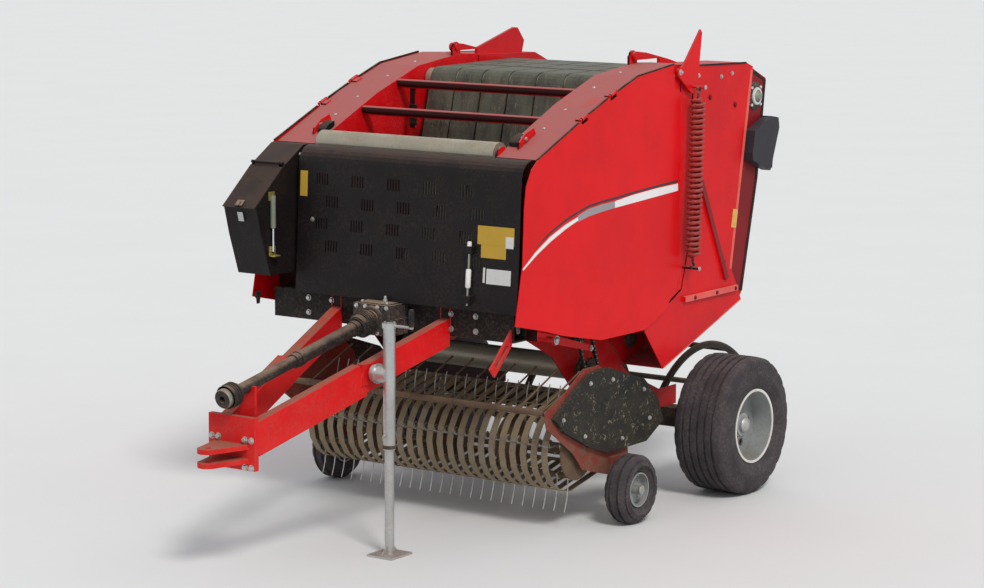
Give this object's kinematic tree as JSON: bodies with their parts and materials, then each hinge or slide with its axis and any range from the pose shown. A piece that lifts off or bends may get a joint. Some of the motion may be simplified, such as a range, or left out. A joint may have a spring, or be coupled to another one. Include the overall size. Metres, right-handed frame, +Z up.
{
  "type": "round baler",
  "caption": "Towed round hay baler with belt chamber, opening tailgate, tined pickup with windguard, side springs, hinged side shields and drawbar with clevis hitch.",
  "frame": {"origin": "on the ground, at the middle of the length and width", "axes": "+X forward to the hitch, +Y to the machine's left, +Z up"},
  "size_m": [4.6732, 2.412, 2.64],
  "materials": {
    "red_paint": "faded gloss",
    "dark_paint": "satin",
    "dark_plastic": "matte",
    "worn_steel": "worn",
    "belt_rubber": "matte, dusty",
    "silver_paint": "satin",
    "rod_chrome": "polished",
    "tyre_rubber": "dusty",
    "galvanised": "worn"
  },
  "bodies": {
    "chassis": {"tongue": "red_paint", "cross_sill": "dark_paint", "hitch_clevis": "red_paint", "gearbox": "dark_paint", "driveline": "dark_plastic", "side_frame_left": "red_paint", "side_frame_right": "red_paint", "roof_tubes": "red_paint", "axle_beam": "dark_paint", "front_rollers": "worn_steel", "front_belts": "belt_rubber", "tension_levers": "red_paint", "tension_springs": "red_paint", "drive_chains": "worn_steel", "lift_linkage": "red_paint", "twine_box": "dark_paint", "bale_ramp": "dark_paint"},
    "jack": {"jack_leg": "silver_paint"},
    "tailgate": {"gate_side_left": "red_paint", "gate_side_right": "red_paint", "gate_crossmembers": "red_paint", "gate_rollers": "worn_steel", "gate_belts": "belt_rubber", "tail_lamps": "dark_plastic"},
    "gate_barrel_l": {"gate_barrel_left": "dark_paint"},
    "gate_rod_l": {"gate_rod_left": "rod_chrome"},
    "gate_barrel_r": {"gate_barrel_right": "dark_paint"},
    "gate_rod_r": {"gate_rod_right": "rod_chrome"},
    "wheel_l": {"tyre_left": "tyre_rubber", "rim_left": "silver_paint"},
    "wheel_r": {"tyre_right": "tyre_rubber", "rim_right": "silver_paint"},
    "gauge_wheel_l": {"gauge_tyre_left": "tyre_rubber", "gauge_rim_left": "silver_paint"},
    "gauge_wheel_r": {"gauge_tyre_right": "tyre_rubber", "gauge_rim_right": "silver_paint"},
    "pickup": {"pickup_frame": "red_paint", "stripper_bands": "galvanised", "pickup_shields": "dark_paint"},
    "reel": {"pickup_reel": "worn_steel"},
    "guard": {"windguard": "red_paint"},
    "shroud": {"front_shroud": "dark_paint"},
    "door_left": {"shield_left": "red_paint"},
    "door_right": {"shield_right": "red_paint"},
    "box_lid": {"twine_lid": "dark_paint"}
  },
  "joints": [
    {"name": "gate_hinge", "type": "hinge", "parent": "chassis", "child": "tailgate", "pos_m": [-0.64843, 0, 2.495], "axis": [0, 1, 0], "range_deg": [0, 62]},
    {"name": "gate_cylinder_left", "type": "hinge", "parent": "chassis", "child": "gate_barrel_l", "pos_m": [-0.47843, 0.74, 1.45], "axis": [0, 1, 0], "range_deg": [0, 11.26]},
    {"name": "gate_stroke_left", "type": "slide", "parent": "gate_barrel_l", "child": "gate_rod_l", "axis": [-0.6508, 0, 0.7593], "range_m": [0, 0.5312]},
    {"name": "gate_cylinder_right", "type": "hinge", "parent": "chassis", "child": "gate_barrel_r", "pos_m": [-0.47843, -0.74, 1.45], "axis": [0, 1, 0], "range_deg": [0, 11.26]},
    {"name": "gate_stroke_right", "type": "slide", "parent": "gate_barrel_r", "child": "gate_rod_r", "axis": [-0.6508, 0, 0.7593], "range_m": [0, 0.5312]},
    {"name": "wheel_left", "type": "hinge", "parent": "chassis", "child": "wheel_l", "pos_m": [-1.07843, 1.0335, 0.3935], "axis": [0, 1, 0], "continuous": true},
    {"name": "wheel_right", "type": "hinge", "parent": "chassis", "child": "wheel_r", "pos_m": [-1.07843, -1.0335, 0.3935], "axis": [0, 1, 0], "continuous": true},
    {"name": "pickup_lift", "type": "hinge", "parent": "chassis", "child": "pickup", "pos_m": [-0.14843, 0, 0.7], "axis": [0, -1, 0], "range_deg": [0, 12]},
    {"name": "reel_spin", "type": "hinge", "parent": "pickup", "child": "reel", "pos_m": [0.25157, 0, 0.43], "axis": [0, 1, 0], "continuous": true},
    {"name": "gauge_left", "type": "hinge", "parent": "pickup", "child": "gauge_wheel_l", "pos_m": [-0.04843, 1.01, 0.19], "axis": [0, 1, 0], "continuous": true},
    {"name": "gauge_right", "type": "hinge", "parent": "pickup", "child": "gauge_wheel_r", "pos_m": [-0.04843, -1.01, 0.19], "axis": [0, 1, 0], "continuous": true},
    {"name": "windguard_hinge", "type": "hinge", "parent": "pickup", "child": "guard", "pos_m": [0.14157, 0, 0.83], "axis": [0, -1, 0], "range_deg": [0, 20]},
    {"name": "shroud_hinge", "type": "hinge", "parent": "chassis", "child": "shroud", "pos_m": [0.70757, 0, 2.014], "axis": [0, -1, 0], "range_deg": [0, 70]},
    {"name": "shield_left_hinge", "type": "hinge", "parent": "chassis", "child": "door_left", "pos_m": [0.11157, 0.878, 2.28], "axis": [0.9317, 0, -0.3633], "range_deg": [0, 75]},
    {"name": "shield_right_hinge", "type": "hinge", "parent": "chassis", "child": "door_right", "pos_m": [0.11157, -0.878, 2.28], "axis": [-0.9317, 0, 0.3633], "range_deg": [0, 75]},
    {"name": "twine_lid_hinge", "type": "hinge", "parent": "chassis", "child": "box_lid", "pos_m": [0.89335, -0.753, 1.93913], "axis": [0, -1, 0], "range_deg": [0, 80]},
    {"name": "jack_swing", "type": "hinge", "parent": "chassis", "child": "jack", "pos_m": [1.32157, 0.31, 0.95], "axis": [0, -1, 0], "range_deg": [0, 72]}
  ],
  "couplings": [
    {"joint": "gate_cylinder_left", "follows": "gate_hinge", "ratio": 0.18},
    {"joint": "gate_stroke_left", "follows": "gate_hinge", "m_per_rad": 0.49},
    {"joint": "gate_cylinder_right", "follows": "gate_hinge", "ratio": 0.18},
    {"joint": "gate_stroke_right", "follows": "gate_hinge", "m_per_rad": 0.49}
  ]
}
